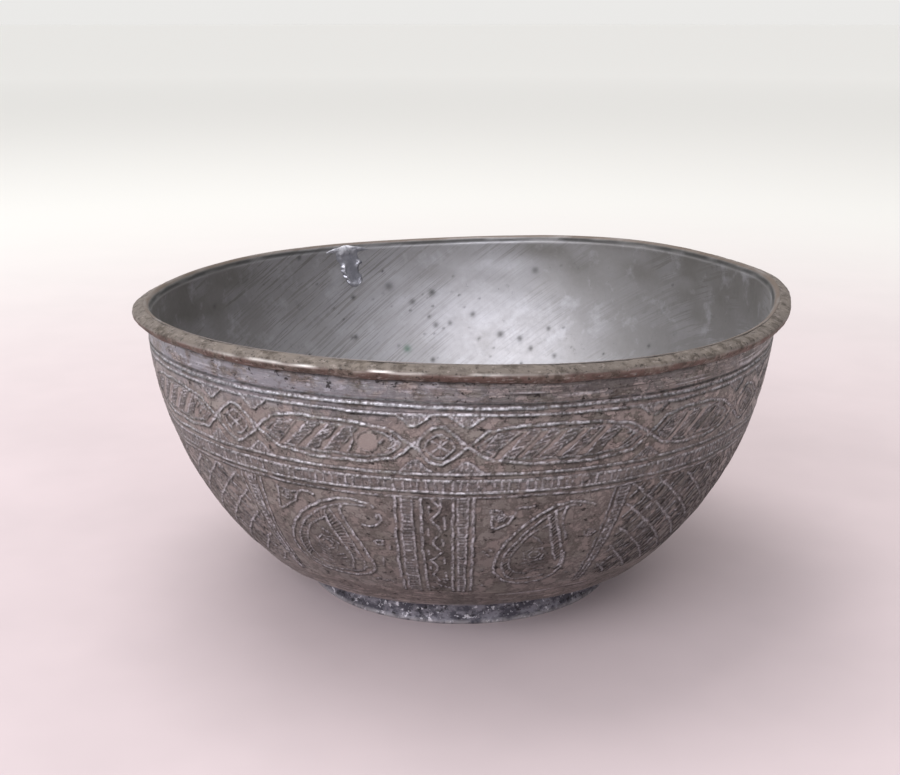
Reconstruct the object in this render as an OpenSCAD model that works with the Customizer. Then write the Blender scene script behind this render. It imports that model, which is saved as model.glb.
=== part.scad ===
// Hand-raised copper bowl: wired rim, tinned inside, soldered foot ring.
// Millimetres, +Z up, origin on the floor at the centre of the foot.

/* [Bowl] */
// Diameter over the rim bead
rim_d = 160; // [125:1:200]
// Height from the floor to the top of the rim
bowl_h = 73.5; // [58:0.5:95]
// Thickness of the copper sheet
sheet_t = 1; // [0.7:0.1:1.6]
// Outer radius of the bend between the flat underside and the wall
bend_r = 9; // [5:0.5:12]

/* [Rim] */
// Diameter of the wire that the edge is rolled round
wire_d = 2; // [1.4:0.1:3]
// Play between the wire and the rolled edge
wire_play = 0.02; // [0.01:0.01:0.05]
// Gap between the end of the rolled edge and the wall
edge_gap = 0.4; // [0.2:0.05:0.6]

/* [Tin] */
// Thickness of the wiped tin inside the bowl
tin_t = 0.12; // [0.08:0.01:0.3]

/* [Foot] */
// Outer diameter of the foot at the floor
foot_d = 79; // [60:1:100]
// Height of the foot, from the floor to the flat underside
foot_h = 9; // [6:0.5:13]
// Thickness of the strip that the foot is bent from
foot_t = 1.3; // [0.9:0.1:2]
// How far the foot spreads outwards at the floor
foot_splay = 1.1; // [0:0.1:2]
// Distance from the top of the foot to the bend of the bowl
foot_setback = 7.5; // [5:0.5:12]
// Width of the soldered butt joint in the foot strip
seam_w = 0.8; // [0.4:0.1:1.5]
// Direction of the butt joint, counted from +X
seam_angle = 100; // [0:5:355]

/* [Solder] */
// Width of the solder fillets along the underside
fillet_w = 2.2; // [1:0.1:3.5]
// Height of the solder fillets along the foot
fillet_h = 2.4; // [1:0.1:3.5]

/* [Rim repair] */
// Direction of the repair, counted from +X
repair_angle = 116; // [0:1:355]
// Width of the solder patch
repair_w = 8; // [4:0.5:14]
// Length of the solder patch down the wall
repair_l = 14; // [8:0.5:22]
// Thickness of the solder patch
repair_t = 0.5; // [0.3:0.1:1]

/* [Engraved lines] */
// Radius of the graver cuts that ring the wall
line_r = 0.3; // [0.2:0.05:0.4]
// Depth of the plain collar between the rim and the first line
collar_h = 8.8; // [5:0.2:14]
// Height of the strapwork band
strap_h = 12.8; // [8:0.2:18]
// Height of the ladder border
ladder_h = 2.7; // [1.5:0.1:4]
// Space between neighbouring borders
border_gap = 1.7; // [1.2:0.1:3]

/* [Hidden] */
$fn = 96;

wire_r = wire_d / 2;
hole_r = wire_r + wire_play;             // inside of the rolled edge
bead_r = hole_r + sheet_t;               // outside of the rolled edge
wire_x = rim_d / 2 - bead_r;             // centre of the wire
wire_z = bowl_h - bead_r;

foot_top_r = foot_d / 2 - foot_splay;    // outer radius where the foot meets the bowl
flat_r = foot_top_r + foot_setback;      // edge of the flat underside
wall_r = wire_x - hole_r;                // outer radius at the top of the wall
bend_z = foot_h + bend_r;

// the wall is one arc, upright at the rim and tangent to the bend
drop = wire_z - bend_z;
spread = wall_r - flat_r;
arc_r = (spread * spread + drop * drop - bend_r * bend_r) / (2 * (spread - bend_r));
arc_x = wall_r - arc_r;
join_angle = atan2(drop, flat_r - arc_x);

// heights of the engraved rings
collar_z = bowl_h - collar_h;
strap_z = collar_z - border_gap;
ladder_z = strap_z - strap_h - border_gap;
line_heights = [collar_z, strap_z, strap_z - strap_h, ladder_z, ladder_z - ladder_h];

wall_steps = 40;
bend_steps = 10;
lap = 0.2;                               // how far the rolled edge runs on beside the wall

function arc_points(centre, radius, from, to, steps) =
  [for (i = [0:steps]) let (a = from + (to - from) * i / steps)
    centre + radius * [cos(a), sin(a)]];

function reversed(points) = [for (i = [len(points) - 1:-1:0]) points[i]];

// Line of the bowl from the axis to the rim, lying inset from the outer surface
function bowl_line(inset) = concat(
  [[0, foot_h + inset]],
  arc_points([flat_r, bend_z], bend_r - inset, -90, -join_angle, bend_steps),
  [for (i = [1:wall_steps]) let (a = join_angle * (i / wall_steps - 1))
    [arc_x, wire_z] + (arc_r - inset) * [cos(a), sin(a)]]);

// Half section of a layer of the bowl
module layer(inset, thick)
  polygon(concat(bowl_line(inset), reversed(bowl_line(inset + thick))));

// Section of the edge rolled round the wire, open next to the wall
module rolled_edge()
  difference() {
    translate([wire_x, wire_z]) circle(r = bead_r);
    translate([wire_x, wire_z]) circle(r = hole_r);
    translate([wall_r - sheet_t / 2, wire_z - lap - 2 * bead_r])
      square([edge_gap + sheet_t / 2, 2 * bead_r]);
  }

// Section of one engraved ring line, cut in from the outer surface
module ring_cut(height)
  let (a = asin((wire_z - height) / arc_r))
    translate([arc_x + arc_r * cos(a), wire_z - arc_r * sin(a)]) circle(r = line_r);

module foot_section()
  polygon([[foot_top_r - foot_t, foot_h], [foot_top_r, foot_h],
           [foot_d / 2, 0], [foot_d / 2 - foot_t, 0]]);

// Upright slab where the ends of the foot strip meet
module seam_slab()
  rotate([0, 0, seam_angle])
    translate([0, -seam_w / 2, -1]) cube([foot_d, seam_w, foot_h + 2]);

// Hollow fillet between the foot and the underside, on the side given by its sign
module fillet_section(side)
  let (x = side > 0 ? foot_top_r : foot_top_r - foot_t,
       lean = foot_splay * fillet_h / foot_h,
       hollow = 0.3)
    polygon([[x, foot_h], [x + side * fillet_w, foot_h],
             [x + side * hollow * fillet_w + lean / 2, foot_h - hollow * fillet_h],
             [x + lean, foot_h - fillet_h]]);

// Upright slab with round ends, facing along +X
module patch_outline() {
  low = wire_z - repair_l + repair_w / 2;
  high = wire_z - repair_w / 2;
  for (z = [low, high])
    translate([0, 0, z]) rotate([0, 90, 0]) cylinder(d = repair_w, h = rim_d);
  translate([0, -repair_w / 2, low]) cube([rim_d, repair_w, high - low]);
}

module bowl_shell()
  color("#7d6c62") rotate_extrude() difference() {
    union() {
      layer(0, sheet_t);
      rolled_edge();
    }
    for (height = line_heights) ring_cut(height);
  }

module rim_wire()
  color("#6b4a3a") rotate_extrude() translate([wire_x, wire_z]) circle(r = wire_r);

module tin_lining()
  color("#a9a7a8") rotate_extrude() layer(sheet_t, tin_t);

module rim_repair_solder()
  color("#d2d1d4") intersection() {
    rotate_extrude() layer(sheet_t + tin_t, repair_t);
    rotate([0, 0, repair_angle]) patch_outline();
  }

module foot_ring()
  color("#5f5b62") difference() {
    rotate_extrude() foot_section();
    seam_slab();
  }

module foot_seam_solder()
  color("#8b8a90") intersection() {
    rotate_extrude() foot_section();
    seam_slab();
  }

module foot_solder_outer()
  color("#747379") rotate_extrude() fillet_section(1);

module foot_solder_inner()
  color("#747379") rotate_extrude() fillet_section(-1);

bowl_shell();
rim_wire();
tin_lining();
rim_repair_solder();
foot_ring();
foot_seam_solder();
foot_solder_outer();
foot_solder_inner();
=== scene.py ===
import math

import bpy
import numpy as np
from mathutils import Euler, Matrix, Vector


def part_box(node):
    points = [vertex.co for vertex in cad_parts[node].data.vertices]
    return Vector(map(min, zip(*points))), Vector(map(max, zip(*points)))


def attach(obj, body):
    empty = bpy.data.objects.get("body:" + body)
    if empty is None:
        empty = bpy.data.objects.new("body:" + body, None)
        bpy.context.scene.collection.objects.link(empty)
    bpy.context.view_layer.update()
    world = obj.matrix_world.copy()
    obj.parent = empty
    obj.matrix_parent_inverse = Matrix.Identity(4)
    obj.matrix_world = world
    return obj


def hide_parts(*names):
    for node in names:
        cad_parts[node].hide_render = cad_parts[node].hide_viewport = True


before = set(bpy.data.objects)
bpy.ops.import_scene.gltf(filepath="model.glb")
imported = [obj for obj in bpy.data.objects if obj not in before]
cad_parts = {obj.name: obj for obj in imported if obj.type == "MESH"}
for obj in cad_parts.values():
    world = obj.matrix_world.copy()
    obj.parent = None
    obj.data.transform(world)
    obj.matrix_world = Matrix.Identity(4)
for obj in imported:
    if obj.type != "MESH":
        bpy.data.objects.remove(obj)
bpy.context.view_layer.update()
mm = 0.001

# Engraved copper bowl, tinned inside, on a soldered foot ring.
# Sizes are in millimetres until a mesh is written. Azimuth 0 faces the camera and grows towards +X.
shellLow, shellHigh = [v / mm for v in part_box("bowl_shell")]
wireLow, wireHigh = [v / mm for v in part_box("rim_wire")]
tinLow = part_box("tin_lining")[0] / mm
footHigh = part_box("foot_ring")[1] / mm
repairLow, repairHigh = [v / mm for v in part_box("rim_repair_solder")]
seamLow, seamHigh = [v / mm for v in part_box("foot_seam_solder")]

bowl = {
    "sheet": tinLow.z - shellLow.z,
    "tin": 0.12,
    "bendRadius": 9.0,   # bend between wall and floor
    "flatRadius": 45.9,  # centre of that bend
    "warp": 1.15,        # how far the rim has been bent up and down
    "tilt": 0.8,         # the rim stands higher on the right
    # azimuth, width and lift of the sharper bends
    "bends": [(88, 19, 1.8), (-88, 24, -1.0), (-135, 26, 0.6)],
    "warpFrom": 40.0,    # height where the bending starts
    "outOfRound": 0.2,
    "dent": 0.11,        # depth of the hammer marks
}
bowlTop = shellHigh.z
underside = shellLow.z
rimRadius = shellHigh.x
wireZ = (wireLow.z + wireHigh.z) / 2
wireX = rimRadius - (bowlTop - wireZ)
wallTop = wireX - (bowlTop - wireZ - bowl["sheet"])
bendZ = underside + bowl["bendRadius"]
drop = wireZ - bendZ
spread = wallTop - bowl["flatRadius"]
arcRadius = (spread ** 2 + drop ** 2 - bowl["bendRadius"] ** 2) / (2 * (spread - bowl["bendRadius"]))
arcX = wallTop - arcRadius
joinAngle = math.atan2(drop, bowl["flatRadius"] - arcX)
wallLength = arcRadius * joinAngle
bendLength = bowl["bendRadius"] * (math.pi / 2 - joinAngle)
rng = np.random.default_rng(41)


def linear(hexText):
    # sRGB hex to the linear colour that the shaders use
    parts = [int(hexText[i:i + 2], 16) / 255 for i in (1, 3, 5)]
    return tuple(c / 12.92 if c <= 0.04045 else ((c + 0.055) / 1.055) ** 2.4 for c in parts) + (1.0,)


def smooth(x, low, high):
    t = np.clip((x - low) / (high - low), 0, 1)
    return t * t * (3 - 2 * t)


def softNoise(rows, cols, rowCell, colCell):
    # smooth random field in -1..1 that joins up with itself round the bowl
    ny, nx = max(2, int(rows / rowCell) + 3), max(3, int(round(cols / colCell)))
    knots = rng.uniform(-1, 1, (ny, nx))
    y = np.arange(rows) / rowCell
    x = np.arange(cols) * nx / cols
    yi, xi = y.astype(int), x.astype(int)
    fy, fx = y - yi, x - xi
    fy, fx = (fy * fy * (3 - 2 * fy))[:, None], (fx * fx * (3 - 2 * fx))[None, :]
    a, b = knots[yi][:, xi % nx], knots[yi][:, (xi + 1) % nx]
    c, d = knots[yi + 1][:, xi % nx], knots[yi + 1][:, (xi + 1) % nx]
    return (a * (1 - fx) + b * fx) * (1 - fy) + (c * (1 - fx) + d * fx) * fy


def writeMesh(name, points, faces):
    # points in millimetres, faces as arrays of point numbers with one array for each number of corners
    mesh = bpy.data.meshes.new(name)
    points = np.asarray(points, np.float32).reshape(-1, 3)
    mesh.vertices.add(len(points))
    mesh.vertices.foreach_set("co", (points * mm).ravel())
    sizes = np.concatenate([np.full(len(f), f.shape[1]) for f in faces])
    loops = np.concatenate([f.ravel() for f in faces])
    mesh.loops.add(len(loops))
    mesh.loops.foreach_set("vertex_index", loops.astype(np.int32))
    mesh.polygons.add(len(sizes))
    starts = np.concatenate([[0], np.cumsum(sizes)[:-1]]).astype(np.int32)
    mesh.polygons.foreach_set("loop_start", starts)
    mesh.polygons.foreach_set("use_smooth", np.full(len(sizes), True))
    mesh.update(calc_edges=True)
    mesh.validate()
    piece = bpy.data.objects.new(name, mesh)
    bpy.context.scene.collection.objects.link(piece)
    return piece


def gridFaces(rows, cols, roundRows=False, roundCols=True):
    # quads of a grid of points, closed round the bowl and along the section where asked
    i = np.arange(rows if roundRows else rows - 1)[:, None]
    j = np.arange(cols if roundCols else cols - 1)[None, :]
    k = (j + 1) % cols
    n = (i + 1) % rows
    quads = np.stack([i * cols + j, i * cols + k, n * cols + k, n * cols + j], -1)
    return quads.reshape(-1, 4)


def rimLift(azimuth):
    # how far the rim has been bent up over the years: three slow waves, a tilt and the sharper bends
    a = np.radians(azimuth)
    lift = bowl["warp"] * (-np.sin(2 * a) + 0.22 * np.sin(3 * a + 0.9) + 0.12 * np.sin(5 * a + 2.0))
    lift = lift + bowl["tilt"] * np.sin(a)
    for centre, width, height in bowl["bends"]:
        away = (azimuth - centre + 180) % 360 - 180
        lift = lift + height * np.exp(-(away / width) ** 2)
    return lift


def bent(azimuth, radius, height):
    # azimuth, radius and height of the true form to points of the bent bowl
    share = smooth(height, bowl["warpFrom"], bowlTop)
    a = np.radians(azimuth)
    radius = radius + share * bowl["outOfRound"] * np.sin(2 * a)
    return np.stack([radius * np.sin(a), -radius * np.cos(a), height + rimLift(azimuth) * share + 0 * a], -1)


def paint(piece, name, values):
    # four values a point, read by the material under that name
    layer = piece.data.attributes.new(name, "FLOAT_COLOR", "POINT")
    layer.data.foreach_set("color", np.asarray(values, np.float32).ravel())


def finishPiece(piece, material, node):
    # material, and the part's body, slot and node that the piece stands for
    piece.data.materials.append(material)
    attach(piece, "root")
    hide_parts(node)
    print("made", piece.name, len(piece.data.polygons), "faces")


view = {
    "place": (0.0, -0.3189, 0.1381),  # metres
    "pitch": 0.2779,                  # radians below level
    "yaw": 0.0081,
    "lens": 51.8,
    "sensor": 36,
}
cameraData = bpy.data.cameras.new("camera")
cameraData.lens = view["lens"]
cameraData.sensor_width = view["sensor"]
cameraData.clip_start = 0.01
camera = bpy.data.objects.new("camera", cameraData)
camera.location = view["place"]
camera.rotation_euler = Euler((math.pi / 2 - view["pitch"], 0, view["yaw"]))
bpy.context.scene.collection.objects.link(camera)
bpy.context.scene.camera = camera

studio = {
    "lights": [
        # name, place, aims at, width, height, power, colour
        ("keySoftbox", (-0.62, -0.95, 0.70), (0, 0, 0.05), 1.2, 0.7, 10.5, "#f7f8ff"),
        ("topSoftbox", (-0.25, 0.25, 1.25), (0, 0, 0.03), 0.8, 0.8, 8, "#ffffff"),
        ("frontStrip", (0.30, -1.15, 0.55), (0, 0, 0.04), 0.9, 0.45, 2.6, "#f6f6ff"),
    ],
    "skyBright": "#ffffff",
    "skyDark": "#5c5a5c",
    "skyHorizon": "#f1f0ee",
    "skyStrength": 0.94,
    "skyTowards": (-0.48, 0.3, 0.82),  # the bright side of the room
    "skyBlend": 0.55,                  # how gently bright turns to dark
    "horizonBand": (0.05, 0.15),       # the pale band along the horizon ends between these heights
}
for name, place, target, width, height, power, colour in studio["lights"]:
    lamp = bpy.data.lights.new(name, "AREA")
    lamp.shape = "RECTANGLE"
    lamp.size = width
    lamp.size_y = height
    lamp.energy = power
    lamp.color = linear(colour)[:3]
    lampObject = bpy.data.objects.new(name, lamp)
    lampObject.location = place
    lampObject.rotation_euler = (Vector(target) - Vector(place)).to_track_quat("-Z", "Y").to_euler()
    bpy.context.scene.collection.objects.link(lampObject)
world = bpy.data.worlds.new("studio")
bpy.context.scene.world = world
world.use_nodes = True
bpy.context.scene.view_settings.view_transform = "Standard"
print("camera and lights set")


def pick(sockets, key):
    # the socket with that number, or the first one in use with that name
    return sockets[key] if isinstance(key, int) else [s for s in sockets if s.enabled and s.name == key][0]


def addNode(tree, kind, settings=None, links=None):
    # settings: properties, input sockets or the stops of a ramp
    # links: what each input reads, a node or a socket
    node = tree.nodes.new("ShaderNode" + kind)
    for key, value in (settings or {}).items():
        if isinstance(value, str) and value.startswith("#"):
            value = linear(value)
        if key == "stops":
            for element, (at, grey) in zip(node.color_ramp.elements, value):
                element.position = at
                element.color = (grey, grey, grey, 1)
        elif isinstance(key, str) and hasattr(node, key):
            setattr(node, key, value)
        else:
            pick(node.inputs, key).default_value = value
    for key, source in (links or {}).items():
        if isinstance(source, bpy.types.Node):
            source = [s for s in source.outputs if s.enabled][0]
        tree.links.new(source, pick(node.inputs, key))
    return node


def newMaterial(name):
    material = bpy.data.materials.new(name)
    material.use_nodes = True
    tree = material.node_tree
    tree.nodes.clear()
    place = addNode(tree, "TexCoord").outputs["Object"]
    return material, tree, place


def layOver(tree, place, skin, layers, masks=None):
    # lays spots of colour over a skin, each from its own noise and kept inside its mask
    for colour, size, stretch, detail, low, high, most, mask in layers:
        stretched = addNode(tree, "Mapping", {"Scale": stretch}, {"Vector": place})
        spots = addNode(tree, "TexNoise", {"Scale": 1 / (size * mm), "Detail": detail, "Roughness": 0.65},
                        {"Vector": stretched})
        share = addNode(tree, "ValToRGB", {"stops": [(low, 0.0), (high, most)]}, {"Fac": spots})
        if mask:
            share = addNode(tree, "Math", {"operation": "MULTIPLY"}, {0: share, 1: masks[mask]})
        settings = {"data_type": "RGBA", "B": colour}
        links = {"Factor": share}
        (settings if isinstance(skin, str) else links)["A"] = skin
        skin = addNode(tree, "Mix", settings, links)
    return skin


def tint(tree, skin, colour, share, most=1.0):
    # one colour over the skin, as strong as the share says
    share = addNode(tree, "Math", {"operation": "MULTIPLY", "use_clamp": True, 1: most}, {0: share})
    return addNode(tree, "Mix", {"data_type": "RGBA", "B": colour}, {"Factor": share, "A": skin})


def closeMetal(tree, finish, skin, place, roughFrom=()):
    # roughness, fine relief, the metal shader and the output
    rough = relief = None
    for size, weight in finish["grains"]:
        grain = addNode(tree, "TexNoise", {"Scale": 1 / (size * mm), "Detail": 4, "Roughness": 0.7},
                        {"Vector": place})
        if rough is None:
            # the finest grain also varies the roughness by 0.12 either way
            rough = addNode(tree, "Math", {"operation": "MULTIPLY_ADD", 1: 0.25,
                                           2: finish["roughness"] - 0.12}, {0: grain})
            relief = addNode(tree, "Math", {"operation": "MULTIPLY", 1: weight}, {0: grain})
        else:
            relief = addNode(tree, "Math", {"operation": "MULTIPLY_ADD", 1: weight}, {0: grain, 2: relief})
    for source, amount in roughFrom:
        rough = addNode(tree, "Math", {"operation": "MULTIPLY_ADD", "use_clamp": True, 1: amount},
                        {0: source, 2: rough})
    bump = addNode(tree, "Bump", {"Strength": finish["bump"], "Distance": finish["bumpDepth"] * mm},
                   {"Height": relief})
    shader = addNode(tree, "BsdfPrincipled", {"Metallic": finish["metallic"]},
                     {"Base Color": skin, "Roughness": rough, "Normal": bump})
    addNode(tree, "OutputMaterial", None, {"Surface": shader})


# The room: bright wall and sky behind and to the left, dimmer to the right and front, pale along the horizon
skyTree = world.node_tree
skyTree.nodes.clear()
direction = addNode(skyTree, "TexCoord").outputs["Generated"]
towards = addNode(skyTree, "VectorMath", {"operation": "DOT_PRODUCT", 1: studio["skyTowards"]},
                  {0: direction})
skyShare = addNode(skyTree, "MapRange", {"interpolation_type": "SMOOTHSTEP", "From Min": -studio["skyBlend"],
                                         "From Max": studio["skyBlend"]}, {"Value": towards.outputs["Value"]})
skyColour = addNode(skyTree, "Mix", {"data_type": "RGBA", "A": studio["skyDark"], "B": studio["skyBright"]},
                    {"Factor": skyShare})
upwards = addNode(skyTree, "SeparateXYZ", None, {"Vector": direction}).outputs["Z"]
band = addNode(skyTree, "MapRange", {"interpolation_type": "SMOOTHSTEP", "From Min": studio["horizonBand"][1],
                                     "From Max": studio["horizonBand"][0]}, {"Value": upwards})
skyColour = addNode(skyTree, "Mix", {"data_type": "RGBA", "B": studio["skyHorizon"]},
                    {"Factor": band, "A": skyColour})
sky = addNode(skyTree, "Background", {"Strength": studio["skyStrength"]}, {"Color": skyColour})
addNode(skyTree, "OutputWorld", None, {"Surface": sky})

# Raised copper sheet, hand engraved and never cleaned: a brown-grey skin with smooth pinkish islands where
# hands have rubbed it, a painted shadow below and to the right of every cut, pale grit in the cuts and a
# bluish bloom of old tin near the rim, more of it on the left. The finest grain is about 0.05 mm on the real
# skin and is drawn at 0.8 mm so that it shows.
copper = {
    "skin": "#8a8480",
    "grit": "#dedce3",
    # dark dirt of the fields and scratches, and the painted shadow beside cuts and under the bead
    "tarnishAndShadow": "#1d1918",
    "rubbed": "#978d89",
    "strip": "#c2b1ab",
    "layers": [
        # colour, spot size in mm, stretch, detail, ramp from, ramp to, strength, mask
        ("#79746d", 16, (1, 1, 1), 4, 0.38, 0.66, 1.0, None),
        ("#463f3c", 11, (1, 1, 1), 5, 0.48, 0.64, 0.6, None),
        ("#4a4340", 19, (1, 1, 1), 3, 0.36, 0.60, 0.55, "shaded"),
        # lighter on the left: painted light on the lit side
        ("#b0a8a5", 12, (1, 1, 1), 4, 0.38, 0.62, 0.5, "left"),
        ("#453d3a", 4.2, (1, 1, 1.3), 4, 0.495, 0.515, 0.65, "upper"),
        ("#a39793", 4.2, (1, 1, 1.3), 4, 0.525, 0.545, 0.85, "upper"),
        ("#453d3a", 3.6, (1, 1, 1), 5, 0.47, 0.40, 0.45, None),
        ("#a09490", 3.6, (1, 1, 1), 5, 0.53, 0.58, 0.55, None),
        ("#a39793", 2.0, (0.3, 0.3, 4.0), 3, 0.52, 0.66, 0.4, "plain"),
        ("#3d3633", 2.0, (0.3, 0.3, 4.0), 3, 0.46, 0.34, 0.5, "plain"),
        ("#93939c", 7.0, (1, 1, 1.8), 5, 0.42, 0.54, 0.75, "bloom"),
        ("#c9cad6", 2.2, (0.6, 0.6, 1.6), 5, 0.58, 0.64, 0.45, "bloom"),
        ("#1d1918", 1.7, (1, 1, 1.4), 4, 0.60, 0.66, 0.85, None),
    ],
    "masks": {
        # axis, place in mm where it starts and where it is full, and the least of it
        "upper": ("Z", 45, 55, 0.35),
        "collar": ("Z", 59.5, 66, 0),
        "low": ("Z", 17.5, 15.5, 0),
        "left": ("X", 15, -45, 0.15),
        "shaded": ("X", -5, 60, 0),
    },
    "gritGrain": 0.8,   # mm, breaks up the pale grit in the cuts
    "grains": [(0.8, 0.5), (1.6, 0.6), (3.6, 0.5)],
    "bump": 0.75,
    "bumpDepth": 0.14,
    "roughness": 0.42,
    "metallic": 0.7,
}
# The rolled rim is the same copper gone olive brown and rough, with one worn edge painted bright as a
# highlight.
bead = {
    "top": "#736a64",
    "under": "#69554f",
    "topFrom": 0.35,   # faces that look up at least this much have the colour of the top
    # near white: the painted highlight on the worn edge
    "wornAndGlint": "#f6f0ec",
    "layers": [
        ("#7f756d", 5.0, (1, 1, 1), 5, 0.48, 0.62, 0.7, None),
        ("#4a4139", 3.0, (1, 1, 1), 5, 0.50, 0.62, 0.75, None),
        ("#988d87", 1.3, (1, 1, 1), 4, 0.58, 0.66, 0.6, None),
        ("#2f2925", 1.0, (1, 1, 1), 4, 0.58, 0.66, 0.8, None),
    ],
}
raisedCopper, tree, place = newMaterial("raisedCopperPatina")
tone = addNode(tree, "VertexColor", {"layer_name": "cuts"})
split = addNode(tree, "SeparateColor", None, {"Color": tone.outputs["Color"]})
cutGrit, shadowAndDirt, wornAndGlint = split.outputs[0], split.outputs[1], split.outputs[2]
onBead = tone.outputs["Alpha"]
axes = addNode(tree, "SeparateXYZ", None, {"Vector": place})
normal = addNode(tree, "NewGeometry").outputs["True Normal"]
facing = addNode(tree, "SeparateXYZ", None, {"Vector": normal}).outputs["Z"]
masks = {}
for name, (axis, start, full, least) in copper["masks"].items():
    masks[name] = addNode(tree, "MapRange", {"From Min": start * mm, "From Max": full * mm, "To Min": least},
                          {"Value": axes.outputs[axis]})
masks["plain"] = addNode(tree, "Math", {"operation": "MAXIMUM"}, {0: masks["collar"], 1: masks["low"]})
masks["bloom"] = addNode(tree, "Math", {"operation": "MULTIPLY"}, {0: masks["collar"], 1: masks["left"]})
skin = addNode(tree, "Mix", {"data_type": "RGBA", "A": copper["skin"], "B": copper["strip"]},
               {"Factor": masks["low"]})
skin = layOver(tree, place, skin, copper["layers"], masks)
skin = tint(tree, skin, copper["rubbed"], wornAndGlint)
# dark dirt and painted shadow: beside the cuts, in the crease under the bead and on its inner side
skin = tint(tree, skin, copper["tarnishAndShadow"], shadowAndDirt, 0.95)
grainy = addNode(tree, "TexNoise", {"Scale": 1 / (copper["gritGrain"] * mm), "Detail": 3, "Roughness": 0.7},
                 {"Vector": place})
grainy = addNode(tree, "ValToRGB", {"stops": [(0.38, 0.15), (0.58, 0.95)]}, {"Fac": grainy})
grainy = addNode(tree, "Math", {"operation": "MULTIPLY"}, {0: cutGrit, 1: grainy})
skin = tint(tree, skin, copper["grit"], grainy)
beadTop = addNode(tree, "MapRange", {"From Max": bead["topFrom"]}, {"Value": facing})
beadSkin = addNode(tree, "Mix", {"data_type": "RGBA", "A": bead["under"], "B": bead["top"]},
                   {"Factor": beadTop})
beadSkin = layOver(tree, place, beadSkin, bead["layers"])
beadSkin = tint(tree, beadSkin, bead["wornAndGlint"], wornAndGlint)
beadSkin = tint(tree, beadSkin, copper["tarnishAndShadow"], shadowAndDirt, 0.95)
skin = addNode(tree, "Mix", {"data_type": "RGBA"}, {"Factor": onBead, "A": skin, "B": beadSkin})
closeMetal(tree, copper, skin, place, [(onBead, 0.26), (shadowAndDirt, 0.12), (wornAndGlint, -0.22)])

# Hot tin wiped round the inside with a cloth: a dull grey mirror with fine straight wiping streaks and
# dark pits. The streaks are about 0.3 mm wide on the real lining and are drawn at about 0.6 mm.
tin = {
    "bright": "#b3b1b4",
    # dark pits, also the painted shade on the inner lip
    "pitAndShade": "#494847",
    # dull tin, also the painted shade on the side walls
    "dullAndShade": "#7d7a77",
    "green": "#5c7c6c",
    "brown": "#6e6056",
    "stainFrom": 0.070,   # metres: stains above this height are brown, below it green
    "layers": [
        ("#928f8e", 26, (1, 1, 1), 4, 0.38, 0.66, 0.7, None),
        ("#c4c3c8", 7, (1, 1, 1), 4, 0.55, 0.72, 0.4, None),
        ("#5b5a59", 5.5, (1, 1, 1), 4, 0.64, 0.76, 0.45, None),
        ("#4f4e4d", 1.4, (1, 1, 1), 4, 0.68, 0.76, 0.4, None),
    ],
    "streaks": [
        ("#8a888a", 2.4, (0.02, 0.05, 1), 3, 0.44, 0.62, 0.35, "wiped"),
        ("#6b6a6b", 0.7, (0.012, 0.04, 1), 3, 0.52, 0.66, 0.28, "wiped"),
        ("#d6d5dc", 0.7, (0.012, 0.04, 1), 3, 0.46, 0.34, 0.3, "wiped"),
    ],
    "streakSlope": 0.66,  # the cloth went round at this angle, in radians
    "grains": [(1.3, 0.4), (5.0, 0.6)],
    "bump": 0.35,
    "bumpDepth": 0.12,
    "roughness": 0.5,
    "metallic": 1.0,
}
wipedTin, tree, place = newMaterial("wipedTin")
tone = addNode(tree, "VertexColor", {"layer_name": "wipes"})
stained = tone.outputs["Alpha"]
split = addNode(tree, "SeparateColor", None, {"Color": tone.outputs["Color"]})
pitAndShade, wiped, dullAndShade = split.outputs[0], split.outputs[1], split.outputs[2]
turned = addNode(tree, "VectorRotate", {"rotation_type": "Y_AXIS", "Angle": tin["streakSlope"]},
                 {"Vector": place})
skin = addNode(tree, "Mix", {"data_type": "RGBA", "A": tin["bright"], "B": tin["dullAndShade"]}, {"Factor": dullAndShade})
skin = layOver(tree, place, skin, tin["layers"])
skin = layOver(tree, turned, skin, tin["streaks"], {"wiped": wiped})
skin = tint(tree, skin, tin["pitAndShade"], pitAndShade)
height = addNode(tree, "SeparateXYZ", None, {"Vector": place}).outputs["Z"]
above = addNode(tree, "Math", {"operation": "GREATER_THAN", 1: tin["stainFrom"]}, {0: height})
stain = addNode(tree, "Mix", {"data_type": "RGBA", "A": tin["green"], "B": tin["brown"]}, {"Factor": above})
skin = addNode(tree, "Mix", {"data_type": "RGBA"}, {"Factor": stained, "A": skin, "B": stain})
closeMetal(tree, tin, skin, place, [(pitAndShade, 0.25), (dullAndShade, 0.12), (stained, 0.15)])
print("copper and tin made")


def wornMaterial(name, finish):
    # small worn metals: foot strip, solder and wire, with the masks that their layers ask for
    material, tree, place = newMaterial(name)
    height = addNode(tree, "SeparateXYZ", None, {"Vector": place}).outputs["Z"]
    masks = {}
    for mask, (start, full) in finish.get("heights", {}).items():
        masks[mask] = addNode(tree, "MapRange", {"From Min": start * mm, "From Max": full * mm},
                              {"Value": height})
    if "painted" in finish:
        masks[finish["painted"]] = addNode(tree, "VertexColor", {"layer_name": finish["painted"]})
    closeMetal(tree, finish, layOver(tree, place, finish["skin"], finish["layers"], masks), place)
    return material


floor = {
    "rings": (0.5, 60, 150, 400, 1200, 5000, 30000),
    "sides": 128,
    "near": "#c8b9bb",
    "mottle": "#bfb1b3",
    "far": "#e0deda",
    "farGlow": 0.16,  # keeps the far floor as light as the room behind it
}
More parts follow.
